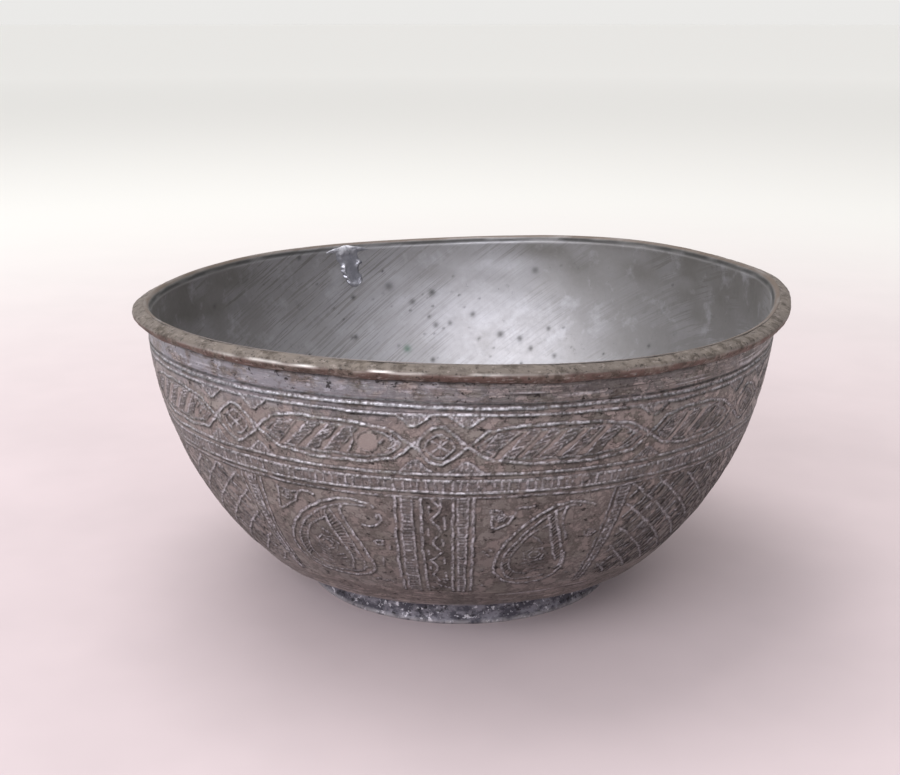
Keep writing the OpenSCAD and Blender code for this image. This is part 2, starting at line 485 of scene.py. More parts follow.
# Matt painted paper, faintly mottled, turning from pinkish to off-white away from the bowl
paper, tree, place = newMaterial("mattPaperSweep")
skin = layOver(tree, place, floor["near"], [(floor["mottle"], 60, (1, 1, 1), 3, 0.35, 0.65, 0.6, None)])
distance = addNode(tree, "VectorMath", {"operation": "LENGTH"}, {0: place}).outputs["Value"]
farShare = addNode(tree, "MapRange", {"interpolation_type": "SMOOTHSTEP", "From Min": 0.08, "From Max": 0.75},
                   {"Value": distance})
skin = tint(tree, skin, floor["far"], farShare)
glow = addNode(tree, "MapRange", {"From Min": 0.6, "From Max": 3.0, "To Max": floor["farGlow"]},
               {"Value": distance})
shader = addNode(tree, "BsdfPrincipled",
                 {"Roughness": 0.85, "Specular IOR Level": 0.2, "Emission Color": "#ffffff"},
                 {"Base Color": skin, "Emission Strength": glow})
addNode(tree, "OutputMaterial", None, {"Surface": shader})
turns = np.linspace(0, 2 * np.pi, floor["sides"], endpoint=False)
ringRadius = np.array(floor["rings"])[:, None]
points = np.stack([ringRadius * np.cos(turns), ringRadius * np.sin(turns), 0 * ringRadius + 0 * turns], -1)
hub = np.arange(len(turns))[None, :]
paperFloor = writeMesh("paperFloor", points, [gridFaces(len(ringRadius), len(turns)), hub])
paperFloor.data.materials.append(paper)


def wallPoint(arc, inset=0.0):
    # length down the wall from its top to radius and height, inset inwards from the outer face
    arc = np.asarray(arc, float)
    down = arc / arcRadius
    turn = np.minimum(joinAngle + (arc - wallLength) / bowl["bendRadius"], math.pi / 2)
    onWall = arc <= wallLength
    bend = bowl["bendRadius"] - inset
    wall = arcRadius - inset
    radius = np.where(onWall, arcX + wall * np.cos(down), bowl["flatRadius"] + bend * np.cos(turn))
    height = np.where(onWall, wireZ - wall * np.sin(down), bendZ - bend * np.sin(turn))
    return radius, height


def arcAt(height):
    # length down the wall at that height
    return arcRadius * np.arcsin(np.clip((wireZ - np.asarray(height, float)) / arcRadius, -1, 1))


graver = {
    "columns": 1800,   # points round the bowl
    "rowStep": 0.26,   # mm between rows down the wall
    "topArc": 1.73,    # first row, just under the bead
    "width": 0.56,
    "depth": 0.24,
    "unsteady": 0.10,
    "shadow": 0.24,    # the painted shadow beside a cut lies this far below and to the right of it
}
rowArc = np.arange(graver["topArc"], wallLength + bendLength, graver["rowStep"])
rowRadius, rowHeight = wallPoint(rowArc)
columnStep = 360 / graver["columns"]
azimuth = np.arange(graver["columns"]) * columnStep
shape = (len(rowArc), graver["columns"])
cutMap, burrMap, gritMap, shadowAndDirtMap, wearMap = [np.zeros(shape) for _ in range(5)]


def markCut(where, d, dShadow, depth, grit, keep=1.0):
    # d is the distance from the middle of the cut, in half widths
    cutMap[where] = np.maximum(cutMap[where], keep * depth * np.clip(1.05 - d * d, 0, 1))
    burrMap[where] = np.maximum(burrMap[where], keep * 0.3 * depth * np.exp(-((d - 1.35) / 0.4) ** 2))
    gritMap[where] = np.maximum(gritMap[where], keep * grit * np.clip(1.25 - d * d, 0, 1))
    # painted shadow: dark on the lower right side of every cut, as if lit from the upper left
    shadowAndDirtMap[where] = np.maximum(shadowAndDirtMap[where], keep * 0.95 * np.exp(-(dShadow / 1.75) ** 4))


def block(lowA, highA, lowArc, highArc):
    # rows and columns of the grid that a mark can touch
    first = max(0, int((lowArc - rowArc[0]) / graver["rowStep"]))
    last = min(shape[0], int((highArc - rowArc[0]) / graver["rowStep"]) + 2)
    cols = np.arange(int(math.floor(lowA / columnStep)), int(math.ceil(highA / columnStep)) + 1)
    return slice(first, last), cols


def cutLine(points, width=1.0, depth=1.0, grit=1.0, closed=False, jitter=1.0):
    # one graver line through (azimuth, height) points, a little unsteady as by hand
    pts = np.array(list(points) + ([points[0]] if closed else []), float)
    arc = arcAt(pts[:, 1])
    lengths = np.hypot(np.diff(np.radians(pts[:, 0]) * np.mean(wallPoint(arc)[0])), np.diff(arc))
    total = lengths.sum()
    if total < 0.05:
        return
    count = max(1, int(math.ceil(total / 1.4)))
    at = np.concatenate([[0], np.cumsum(lengths)])
    s = np.linspace(0, total, count + 1)
    a = np.interp(s, at, pts[:, 0])
    v = np.interp(s, at, arc)
    r = wallPoint(v)[0]
    unsteady = graver["unsteady"] * jitter
    a = a + np.degrees(rng.normal(0, unsteady, count + 1) / r)
    v = v + rng.normal(0, unsteady, count + 1)
    if closed:
        a[-1], v[-1] = a[0], v[0]
    half = graver["width"] * width / 2
    pad = half * 2.6 + graver["shadow"]
    for k in range(count):
        rMid = (r[k] + r[k + 1]) / 2
        degPad = math.degrees(pad / rMid)
        rows, cols = block(min(a[k], a[k + 1]) - degPad, max(a[k], a[k + 1]) + degPad,
                           min(v[k], v[k + 1]) - pad, max(v[k], v[k + 1]) + pad)
        if rows.stop <= rows.start:
            continue
        px = np.radians(cols * columnStep - a[k])[None, :] * rMid
        py = (rowArc[rows] - v[k])[:, None]
        ex, ey = math.radians(a[k + 1] - a[k]) * rMid, v[k + 1] - v[k]
        t = np.clip((px * ex + py * ey) / max(ex * ex + ey * ey, 1e-9), 0, 1)
        d = np.hypot(px - t * ex, py - t * ey) / half
        dShadow = np.hypot(px - t * ex - graver["shadow"], py - t * ey - graver["shadow"]) / half
        markCut((rows, cols % shape[1]), d, dShadow, graver["depth"] * depth, grit)


def ringLine(height, width=1.0, depth=1.0, grit=1.0, drift=0.18):
    # a line round the bowl, drawn free-hand
    wander = softNoise(1, shape[1], 1, 60)[0] + 0.4 * softNoise(1, shape[1], 1, 14)[0]
    centre = arcAt(height) + drift * wander
    half = graver["width"] * width / 2
    deep = graver["depth"] * depth * (1 + 0.35 * softNoise(1, shape[1], 1, 25)[0])
    rows = block(0, 0, centre.min() - 3 * half, centre.max() + 3 * half + graver["shadow"])[0]
    d = (rowArc[rows][:, None] - centre[None, :]) / half
    markCut(rows, np.abs(d), np.abs(d - graver["shadow"] / half), deep, grit)


def insideOf(outline):
    # the part of the grid inside a closed outline of (azimuth, height) points
    pts = np.array(outline, float)
    arc = arcAt(pts[:, 1])
    rows, cols = block(pts[:, 0].min(), pts[:, 0].max(), arc.min(), arc.max())
    a = (cols * columnStep)[None, :] + 0 * rowArc[rows][:, None]
    v = rowArc[rows][:, None] + 0 * a
    inside = np.zeros(a.shape, bool)
    for k in range(len(pts)):
        a0, v0, a1, v1 = pts[k - 1, 0], arc[k - 1], pts[k, 0], arc[k]
        crossing = (v0 > v) != (v1 > v)
        inside ^= crossing & (a < (a1 - a0) * (v - v0) / (v1 - v0 + 1e-12) + a0)
    return (rows, cols % shape[1]), inside


def shadeField(outline, dark=0.0, grit=0.0, sink=0.0):
    # darkens, greys or sinks the ground inside an outline
    where, inside = insideOf(outline)
    for layer, amount in ((shadowAndDirtMap, dark), (gritMap, grit), (cutMap, sink)):
        layer[where] = np.maximum(layer[where], inside * amount)


def clearField(outline, rubbed=1.0):
    # smooth bare copper inside an outline
    where, inside = insideOf(outline)
    for layer in (shadowAndDirtMap, gritMap, cutMap, burrMap):
        layer[where] = layer[where] * (1 - inside)
    wearMap[where] = np.maximum(wearMap[where], inside * rubbed)


def rounded(points, closed=False, times=2):
    # cuts the corners of a line so that it flows
    pts = np.array(points, float)
    for _ in range(times):
        a = pts if closed else pts[:-1]
        b = np.roll(pts, -1, 0) if closed else pts[1:]
        mid = np.stack([a * 0.75 + b * 0.25, a * 0.25 + b * 0.75], 1).reshape(-1, 2)
        pts = mid if closed else np.vstack([pts[:1], mid, pts[-1:]])
    return [tuple(p) for p in pts]


def between(a, b, share):
    # the point that share of the way from a to b
    return a[0] + (b[0] - a[0]) * share, a[1] + (b[1] - a[1]) * share


lines = {
    # heights of the lines that run round the bowl
    "collar": 64.7,
    "strapTop": 63.0,
    "strapBottom": 50.2,
    "ladderTop": 48.5,
    "ladderBottom": 45.8,
    "panelTop": 44.8,
    "panelBottom": 16.6,
    "rungPitch": 1.55,
    "rungRadius": 67,   # of the bowl at the ladder border
}
# rings and ladder border
ringLine(lines["collar"], 1.25, 1.3, 1.0, 0.15)
ringLine(lines["collar"] + 1.0, 0.6, 0.8, 0.15, 0.15)
ringLine(lines["strapTop"], 1.1, 1.0, 1.0, 0.22)
ringLine(lines["strapBottom"], 1.15, 1.1, 1.0, 0.2)
ringLine(lines["ladderTop"], 1.15, 1.1, 1.0, 0.15)
ringLine(lines["ladderBottom"], 1.15, 1.1, 1.0, 0.15)
ringLine(lines["panelTop"] - 0.2, 0.8, 0.8, 0.8, 0.3)
rungs = int(2 * math.pi * lines["rungRadius"] / lines["rungPitch"])
for k in range(rungs):
    a = (k + rng.uniform(-0.2, 0.2)) * 360 / rungs
    lean = rng.uniform(-0.2, 0.2)
    rung = [(a, lines["ladderTop"] - 0.4), (a + lean, lines["ladderBottom"] + 0.4)]
    cutLine(rung, 0.9, 0.9, rng.uniform(0.5, 1), jitter=0.4)
ladderRows = (rowHeight < lines["ladderTop"]) & (rowHeight > lines["ladderBottom"])
gritMap[ladderRows] = np.maximum(gritMap[ladderRows], 0.15)
shadowAndDirtMap[ladderRows] = np.maximum(shadowAndDirtMap[ladderRows], 0.4)

# strapwork: cartouches and diamonds tied at their crossings
strap = {
    "crossings": [-70.0, -43.8, -33.8, -7.3, 1.2, 31.0, 51.7],  # azimuths of the first ties
    "further": 6,       # cartouches on the rest of the way round
    "cartouche": 26.8,  # and their width in degrees
    "cross": 56.4,      # heights of the ties and of the widest part above and below them
    "high": 61.1,
    "low": 52.1,
    "inset": 1.15,      # from the outer line to the inner one
    "stripe": 3.5,
    "dots": 26,
}
crossings = list(strap["crossings"])
rest = crossings[0] + 360 - crossings[-1]
diamondWide = (rest - strap["further"] * strap["cartouche"]) / (strap["further"] + 1)
for k in range(2 * strap["further"] + 1):
    crossings.append(crossings[-1] + (strap["cartouche"] if k % 2 else diamondWide))


def cartouche(a0, a1, spot):
    # long field from tie to tie, filled with slanting stripes, and with a rubbed round spot if spot is true
    y, hi, lo, i = strap["cross"], strap["high"], strap["low"], strap["inset"]
    upper = [(a0 - 0.9, y - 0.9), (a0, y + 0.2), (a0 + 4.3, hi), (a1 - 4.8, hi - 0.4), (a1, y),
             (a1 + 0.9, y - 1.0)]
    lower = [(a0 - 0.9, y + 1.2), (a0, y - 0.1), (a0 + 4.6, lo + 0.2), (a1 - 3.8, lo), (a1, y),
             (a1 + 0.9, y + 1.1)]
    innerUp = [(a0 + 1.6, y), (a0 + 5.0, hi - i), (a1 - 5.3, hi - 0.4 - i), (a1 - 1.7, y)]
    innerLow = [(a0 + 1.6, y), (a0 + 5.4, lo + 0.2 + i), (a1 - 4.4, lo + i), (a1 - 1.7, y)]
    for line in (upper, lower):
        cutLine(rounded(line, times=1), 1.15, 1.1, 1.0)
    for line in (innerUp, innerLow):
        cutLine(rounded(line, times=1), 0.8, 1.1, 0.55)
    top, bottom = hi - i - 0.5, lo + i + 0.5
    x = a0 + 3.3
    first = True
    while x < a1 - (12.0 if spot else 6.0):
        width = strap["stripe"] * rng.uniform(0.85, 1.15)
        slant = 3.2 + rng.uniform(-0.4, 0.4)
        left = ((x - slant * 0.55, bottom), (x + slant * 0.75, top))
        if first:
            left = ((x - 1.2, bottom + 1.6), (x + 1.2, top - 0.6))
        right = ((x - slant * 0.55 + width * 0.52, bottom), (x + slant * 0.75 + width * 0.52, top))
        far = ((right[0][0] + width * 0.48, bottom), (right[1][0] + width * 0.48, top))
        shadeField([left[0], left[1], right[1], right[0]], dark=0.75, grit=0.1, sink=0.12)
        for m in range(5):
            s = (m + rng.uniform(0.2, 0.8)) / 5
            stroke = [between(*left, s), between(*right, min(1, s + 0.18))]
            cutLine(stroke, 0.6, 0.8, rng.uniform(0.3, 0.9), jitter=0.8)
        if far[1][0] < a1 - 5.0:
            clearField([right[0], right[1], far[1], far[0]], 0.55)
        cutLine(left, 0.8, 1.1, 1.0, jitter=1.3)
        cutLine(right, 0.6, 1.1, 0.3, jitter=1.3)
        x += width
        first = False
    if spot:
        c = (a1 - 7.0, (top + bottom) / 2)
        for p in [(a1 - 9.6, top - 0.3), (a1 - 10.2, bottom + 0.4)]:
            cutLine([p, (a1 - 9.2, c[1])], 0.8, 1, 0.8)
        turns = np.linspace(0, 2 * math.pi, 7)[:-1] + 0.3
        ring = rounded([(c[0] + 1.95 * math.cos(t), c[1] + 2.5 * math.sin(t)) for t in turns], True, 1)
        clearField(ring)
        cutLine(ring, 0.5, 0.8, 0.2, closed=True, jitter=0.2)
        for _ in range(strap["dots"]):
            a = rng.uniform(a1 - 5.0, a1 - 1.8)
            span = (a1 - 1.2 - a) / 4.2 * 3.0
            z = y - 0.2 + rng.uniform(-span, span)
            cutLine([(a, z), (a + 0.35, z + 0.35)], 0.7, 0.9, 0.9, jitter=0.3)
        return
    for s in (-1, 1):
        cutLine([(a1 - 5.4, y + s * 2.6), (a1 - 2.4, y + s * 0.4)], 0.7, 0.9, 0.7)
    for _ in range(8):
        a, z = rng.uniform(a1 - 5.6, a1 - 2.8), y + rng.uniform(-1.4, 1.4)
        cutLine([(a, z), (a + 0.7, z + 0.8)], 0.6, 0.8, 0.7, jitter=0.5)


def diamond(a0, a1):
    # small field from tie to tie with a crossed stroke
    y, hi, lo = strap["cross"] - 0.1, strap["high"] - 0.3, strap["low"] - 0.1
    c, w = (a0 + a1) / 2, (a1 - a0) / 2
    tip = w * 0.2
    outer = [(c - w, y), (c - tip, hi), (c + tip, hi - 0.2), (c + w, y), (c + tip, lo + 0.4), (c - tip, lo)]
    cutLine(rounded(outer, True, 1), 1.15, 1.1, 1.0, closed=True)
    inner = [between((c, y), p, 0.62) for p in outer]
    shadeField(inner, dark=0.45, sink=0.05)
    cutLine(rounded(inner, True, 1), 0.85, 1.0, 0.8, closed=True)
    cutLine([(c - w * 0.3, y - 1.3), (c + w * 0.3, y + 1.3)], 0.8, 0.9, 0.85)
    cutLine([(c - w * 0.3, y + 1.2), (c + w * 0.3, y - 1.2)], 0.8, 0.9, 0.85)
    cutLine([(c, y + 2.2), (c + w * 0.05, y - 2.2)], 0.7, 0.9, 0.6)


def tieTriangles(a):
    # hatched triangles above and below a tie
    for base, tip in ((lines["strapTop"] - 0.2, 60.2), (lines["strapBottom"] + 0.3, 53.3)):
        corners = [(a - 2.5, base), (a, tip), (a + 2.5, base)]
        shadeField(corners, dark=0.3, grit=0.2, sink=0.05)
        cutLine(corners, 0.9, 1.0, 0.85)
        for k in range(5):
            x = a + (k - 2) * 0.82
            reach = (1 - abs(x - a) / 2.5) * 0.85 * (tip - base)
            stroke = [(x, base + 0.15 * (tip - base)), (x + 0.3, base + reach)]
            cutLine(stroke, 0.6, 0.8, rng.uniform(0.4, 0.9), jitter=0.6)


for k, (a0, a1) in enumerate(zip(crossings[:-1], crossings[1:])):
    if a1 - a0 > 16:
        cartouche(a0, a1, spot=(k % 4 == 2))
    else:
        diamond(a0, a1)
for a in crossings[:-1]:
    tieTriangles(a + rng.uniform(-0.4, 0.4))
print("strapwork cut")


# panels: zigzag column, two leaf drops, ladder bars and lattice, three times round
def ladderBar(top, bottom, pitch=1.0):
    # two lines with rungs: top and bottom give the left and right azimuth
    high, low = lines["panelTop"] - 0.8, lines["panelBottom"]
    left, right = [(top[0], high), (bottom[0], low)], [(top[1], high), (bottom[1], low)]
    shadeField([left[0], right[0], right[1], left[1]], grit=0.12, dark=0.45)
    cutLine(left, 0.95, 1.0, 0.95)
    cutLine(right, 0.95, 1.0, 0.95)
    count = int((high - low) * 1.12 / pitch)
    for k in range(count):
        s = (k + 0.5 + rng.uniform(-0.15, 0.15)) / count
        cutLine([between(*left, s), between(*right, s)], 0.75, 0.85, rng.uniform(0.4, 1), jitter=0.4)


def zigzagColumn(c):
    # c is the azimuth of the middle of the column
    high, low = lines["panelTop"], lines["panelBottom"]
    shadeField([(c - 1.7, high - 0.5), (c + 3.6, high - 0.5), (c + 3.2, low), (c - 2.2, low)],
               dark=0.5, sink=0.04)
    ladderBar((c - 4.9, c - 3.2), (c - 6.4, c - 3.9))
    ladderBar((c + 4.4, c + 6.1), (c + 4.4, c + 5.5), 0.95)
    for top, bottom in ((-6.0, -7.6), (-1.7, -2.2), (3.6, 3.2), (6.9, 7.0)):
        cutLine([(c + top, high - 0.6), (c + bottom, low + 0.3)], 1.1, 1.1, 1.0)
    zig = [(0.2, 44.2), (1.6, 41.3), (-0.3, 38.7), (1.6, 35.7), (-0.4, 32.4), (1.6, 30.0), (-0.7, 27.2),
           (0.8, 24.8), (-0.7, 22.6), (0.5, 20.4)]
    cutLine([(c + a, z) for a, z in zig], 0.9, 1.2, 1.0, jitter=1.2)
    upright = [(-0.3, 42.4, 2.4), (-0.8, 36.2, 1.8), (2.1, 39.4, 3.2), (1.7, 33.5, 1.8), (1.8, 27.9, 1.6),
               (-1.0, 30.2, 1.2), (1.5, 44.0, 2.0), (-1.1, 25.0, 1.0), (2.0, 23.4, 1.6)]
    for a, z, tall in upright:
        cutLine([(c + a, z), (c + a, z - tall)], 0.9, 1.1, 1.0)
    for _ in range(9):
        a, z = c + rng.uniform(-1.4, 2.6), rng.uniform(17.4, 21.5)
        cutLine([(a, z), (a + 0.3, z - 0.3)], 0.9, 1.0, 0.9, jitter=0.3)


def rosette(a, z, size):
    # small swirl of graver strokes round a ring
    turns = np.linspace(0, 2 * math.pi, 8)[:-1]
    for t in turns:
        start = (a + size * math.cos(t), z + 0.9 * size * math.sin(t))
        end = (a + 0.8 * size * math.cos(t + 0.8), z + 0.75 * size * math.sin(t + 0.8))
        cutLine([start, end], 0.7, 0.9, rng.uniform(0.6, 1), jitter=0.6)
    ring = [(a + 0.5 * size * math.cos(t), z + 0.45 * size * math.sin(t)) for t in turns]
    cutLine(ring, 0.65, 0.8, 0.85, closed=True, jitter=0.6)


def rungsAlong(lineA, lineB, count, grit=0.6):
    # short strokes from one line to the other
    a, b = np.array(lineA, float), np.array(lineB, float)
    for k in range(count):
        s = (k + 0.5) / count
        p = [np.interp(s * (len(a) - 1), np.arange(len(a)), a[:, i]) for i in (0, 1)]
        q = [np.interp(s * (len(b) - 1), np.arange(len(b)), b[:, i]) for i in (0, 1)]
        cutLine([p, q], 0.55, 0.7, grit * rng.uniform(0.5, 1.1), jitter=0.5)


def shifted(c, *pairs):
    # azimuths turned by c
    return [(c + a, z) for a, z in pairs]


def slantedLeaf(c):
    # leaf drop left of the column, its straight side falling to the right
    outer = shifted(c, (-14.4, 41.2), (-17.0, 42.6), (-20.5, 42.7), (-24.5, 41.0), (-29.2, 36.9),
                    (-32.9, 31.9), (-34.7, 26.7), (-34.1, 23.3), (-31.3, 20.5), (-26.6, 19.5), (-21.7, 19.8),
                    (-18.0, 21.4), (-16.9, 24.0), (-17.6, 27.0), (-19.5, 33.6), (-21.2, 38.9), (-20.2, 41.0))
    second = shifted(c, (-16.0, 41.2), (-18.6, 41.5), (-23.1, 40.3), (-27.0, 37.2), (-30.7, 32.7),
                     (-32.8, 27.4), (-32.5, 23.2), (-29.8, 20.9), (-25.6, 20.8), (-21.4, 21.2), (-19.2, 23.2))
    rightLine = shifted(c, (-22.9, 39.3), (-21.3, 34.5), (-20.0, 29.3), (-19.0, 24.0), (-20.2, 21.8))
    leftLine = shifted(c, (-24.1, 37.4), (-23.4, 33.3), (-22.3, 29.5), (-21.0, 25.6), (-22.6, 22.2))
    inner = shifted(c, (-24.0, 37.0), (-26.5, 35.4), (-29.0, 32.4), (-30.6, 28.7), (-30.8, 25.5),
                    (-29.6, 22.9), (-26.8, 21.9))
    shadeField(inner + leftLine[::-1], dark=0.35)
    cutLine(rounded(outer), 1.15, 1.1, 1.0)
    cutLine(rounded(second), 0.9, 1.0, 0.85)
    cutLine(rightLine, 0.9, 1.0, 0.85)
    cutLine(rounded(leftLine), 1.1, 1.1, 1.0)
    cutLine(rounded(inner), 0.8, 0.9, 0.75)
    rungsAlong(leftLine[:4], rightLine[:4], 17, 0.6)
    rungsAlong(second[2:7], inner[:5], 18, 0.4)
    rosette(c - 25.8, 29.2, 2.4)
    for k in range(4):
        cutLine(shifted(c, (-25.2 + k * 0.7, 25.6 - k * 0.9), (-23.0 + k * 0.3, 26.4 - k * 1.1)),
                0.6, 0.8, 0.7)
        cutLine(shifted(c, (-28.5, 27.4 - k * 1.1), (-26.6, 26.0 - k * 1.0)), 0.6, 0.8, 0.6)
        cutLine(shifted(c, (-26.4 + k * 0.5, 34.2 - k * 0.5), (-25.6 + k * 0.5, 32.8 - k * 0.4)),
                0.6, 0.8, 0.6)
    hook = shifted(c, (-17.0, 36.1), (-15.6, 35.8), (-14.3, 36.6), (-13.3, 38.2), (-13.6, 39.6),
                   (-14.6, 39.3), (-14.4, 38.2))
    cutLine(rounded(hook), 0.95, 1.0, 1.0)
    cutLine(rounded(shifted(c, (-16.3, 31.2), (-14.9, 32.4), (-13.6, 31.6), (-14.8, 30.4)), True, 1),
            0.9, 1.0, 0.9, closed=True)
    cutLine(shifted(c, (-13.0, 31.2), (-12.9, 29.9)), 0.85, 1.0, 0.85)
    cutLine(shifted(c, (-14.8, 27.0), (-15.2, 24.3)), 0.85, 1.0, 0.85)
    cutLine(shifted(c, (-18.2, 19.3), (-17.0, 19.8), (-16.0, 19.0), (-15.0, 19.6), (-14.2, 18.7)),
            0.95, 1.0, 0.9)
    corner = shifted(c, (-32.6, 42.8), (-33.9, 36.4), (-31.2, 38.6), (-29.6, 40.0), (-27.9, 43.0),
                     (-25.4, 42.6))
    cutLine(corner, 0.95, 1.0, 1.0)
    cutLine(shifted(c, (-32.4, 42.6), (-30.9, 42.4), (-28.9, 42.2)), 0.85, 1.0, 0.8)
    rosette(c - 31.2, 40.9, 1.2)


def uprightLeaf(c):
    # leaf drop right of the column, leaning over to the right
    outer = shifted(c, (23.4, 40.7), (20.6, 42.1), (17.9, 42.0), (15.1, 41.0), (12.0, 38.1), (9.4, 34.6),
                    (7.4, 30.7), (6.3, 26.5), (6.9, 22.6), (9.2, 20.0), (12.7, 19.0), (17.1, 19.2),
                    (20.3, 21.2), (20.9, 24.4), (20.3, 27.6))
    second = shifted(c, (20.6, 41.1), (18.2, 41.2), (16.2, 40.0), (13.5, 37.4), (10.9, 34.0), (8.9, 30.3),
                     (7.8, 26.5), (8.6, 23.0), (10.4, 21.0), (13.7, 20.4), (17.2, 21.0))
    rightLine = shifted(c, (16.2, 40.2), (17.2, 35.9), (18.8, 30.8), (19.9, 27.1), (20.2, 24.4), (19.4, 22.9))
    leftLine = shifted(c, (15.2, 38.6), (16.2, 34.1), (17.5, 29.4), (18.8, 25.6))
    inner = shifted(c, (15.6, 36.6), (13.3, 35.2), (11.1, 32.3), (9.4, 28.4), (9.3, 25.4), (10.8, 22.9),
                    (13.6, 22.4))
    shadeField(inner + [leftLine[3], leftLine[2], leftLine[1]], dark=0.35)
    cutLine(rounded(outer), 1.15, 1.1, 1.0)
    cutLine(rounded(second), 0.9, 1.0, 0.85)
    cutLine(rounded(shifted(c, (20.6, 42.0), (18.2, 41.2), (17.5, 38.8), (18.6, 34.8), (19.6, 31.9))),
            0.95, 1.0, 0.95)
    cutLine(rightLine, 1.1, 1.1, 1.0)
    cutLine(leftLine, 0.95, 1.0, 0.85)
    cutLine(rounded(inner), 0.8, 0.9, 0.75)
    rungsAlong(leftLine, rightLine[:4], 14, 0.55)
    rungsAlong(second[3:9], inner[1:6], 16, 0.4)
    rosette(c + 14.0, 28.2, 2.4)
    for k in range(4):
        cutLine(shifted(c, (12.0 + k * 0.6, 25.8 - k), (16.2 + k * 0.2, 26.6 - k * 1.1)), 0.6, 0.8, 0.6)
        cutLine(shifted(c, (13.0 + k * 0.5, 33.6 - k * 0.5), (14.4 + k * 0.3, 32.4 - k * 0.4)), 0.6, 0.8, 0.5)
    cutLine(shifted(c, (5.0, 41.3), (5.5, 36.2), (8.2, 37.4), (8.9, 39.5), (9.5, 41.5), (12.3, 41.9)),
            0.95, 1.0, 1.0)
    cutLine(shifted(c, (5.0, 41.2), (6.6, 41.0), (7.4, 39.6), (8.9, 39.5)), 0.85, 1.0, 0.8)
    rosette(c + 6.7, 39.3, 1.1)
    rosette(c + 24.2, 32.6, 1.2)
    for a, z in ((4.2, 30.0), (4.9, 29.0), (5.4, 30.4), (4.0, 24.5), (22.8, 21.0), (4.6, 19.0)):
        cutLine(shifted(c, (a, z), (a + 0.5, z - 0.4)), 0.9, 1.0, 0.8, jitter=0.4)


lattice = {
    "slope": 0.93,      # mm down per degree along a long diagonal
    "apart": 5.7,
    "crossSlope": 1.15,
    "crossApart": 5.4,
    "strokes": 15,      # short hatch strokes for each degree
}


def latticePanel(a0, a1, lean):
    # crossing diagonals with short hatch strokes in the cells, lean 1 falls to the right
    high, low = lines["panelTop"] - 0.9, lines["panelBottom"] + 0.3
    for _ in range(int((a1 - a0) * lattice["strokes"])):
        a = rng.uniform(a0 + 0.6, a1 - 0.6)
        z = rng.uniform(low + 0.5, high - 0.8)
        reach = rng.uniform(0.8, 1.8)
        end = (min(max(a + reach * 0.75 * lean, a0), a1), min(z + reach, high))
        cutLine([(a, z), end], 0.75, 1.0, rng.uniform(0.0, 0.8), jitter=0.5)
    falling = [(high + k * lattice["apart"], -lattice["slope"], 1.05, 1.0) for k in range(-12, 14)]
    rising = [(low - 30 + k * lattice["crossApart"], lattice["crossSlope"], 1.0, 0.9) for k in range(-10, 22)]
    for base, slope, width, grit in falling + rising:
        base += rng.uniform(-0.5, 0.5)
        line = []
        for a in np.linspace(a0, a1, 26):
            z = base + slope * ((a - a0) if lean > 0 else (a1 - a))
            if low <= z <= high:
                line.append((a, z))
        if len(line) > 1:
            cutLine(line, width, 1.1, grit)


for turn in range(3):
    c = 120 * turn
    zigzagColumn(c - 4.7)
    slantedLeaf(c)
    uprightLeaf(c)
    for top, bottom, grit in ((26.6, 26.0, 0.8), (27.7, 26.9, 0.6), (29.6, 27.8, 0.85),
                              (-41.0, -40.2, 0.8), (-37.6, -39.4, 0.85), (-36.4, -38.6, 0.9)):
        cutLine([(c + top, 43.8), (c + (top + bottom) / 2 - 0.1, 30), (c + bottom, 17.0)], 0.9, 1.0, grit)
    ladderBar((c + 27.7, c + 29.4), (c + 26.9, c + 28.0))
    ladderBar((c - 39.6, c - 38.2), (c - 40.0, c - 39.6))
    latticePanel(c + 30.4, c + 54.0, 1)
    latticePanel(c + 54.5, c + 78.4, -1)
print("panels cut")

# broken grain of the marks, scratches on the plain collar and foot strip, hammer marks
fineGrain = softNoise(shape[0], shape[1], 1.5, 1.5)
midGrain = softNoise(shape[0], shape[1], 5, 6)
gritMap = gritMap * np.clip(0.64 + 0.65 * fineGrain + 0.3 * midGrain, 0.0, 1.0)
gritMap = gritMap * (1 - 0.3 * smooth(np.sin(np.radians(azimuth)), 0.05, 0.6))  # less of it on the right: painted shade on that side
cutMap = cutMap * (1 + 0.35 * fineGrain)
plainRows = smooth(rowHeight, lines["collar"] + 0.6, lines["collar"] + 1.6) + smooth(-rowHeight, -17.0, -15.0)
scratch = softNoise(shape[0], shape[1], 1.3, 46) * softNoise(shape[0], shape[1], 9, 70) * plainRows[:, None]
gritMap = np.maximum(gritMap, np.clip(scratch * 1.5 - 0.3, 0, 0.5))
shadowAndDirtMap = np.maximum(shadowAndDirtMap, np.clip(-scratch * 1.8 - 0.35, 0, 0.8))
# painted shade on the wall just under the overhanging bead
shadowAndDirtMap = np.maximum(shadowAndDirtMap, 0.85 * smooth(rowHeight, 68.9, 69.7)[:, None])
shadowAndDirtMap = shadowAndDirtMap * np.clip(0.8 + 0.4 * midGrain + 0.3 * fineGrain, 0, 1)
shadowAndDirtMap = shadowAndDirtMap * (1 - 0.85 * np.clip(gritMap, 0, 1))
dents = softNoise(shape[0], shape[1], 26, 30) + 0.5 * softNoise(shape[0], shape[1], 11, 13)
tooth = 0.018 * fineGrain + 0.02 * midGrain
lift = burrMap * (cutMap < 0.05) - cutMap + tooth + bowl["dent"] * dents * (rowHeight < 68)[:, None]
outR, outZ = -np.gradient(rowHeight, rowArc), np.gradient(rowRadius, rowArc)
wallR = rowRadius[:, None] + outR[:, None] * lift
wallZ = rowHeight[:, None] + outZ[:, None] * lift

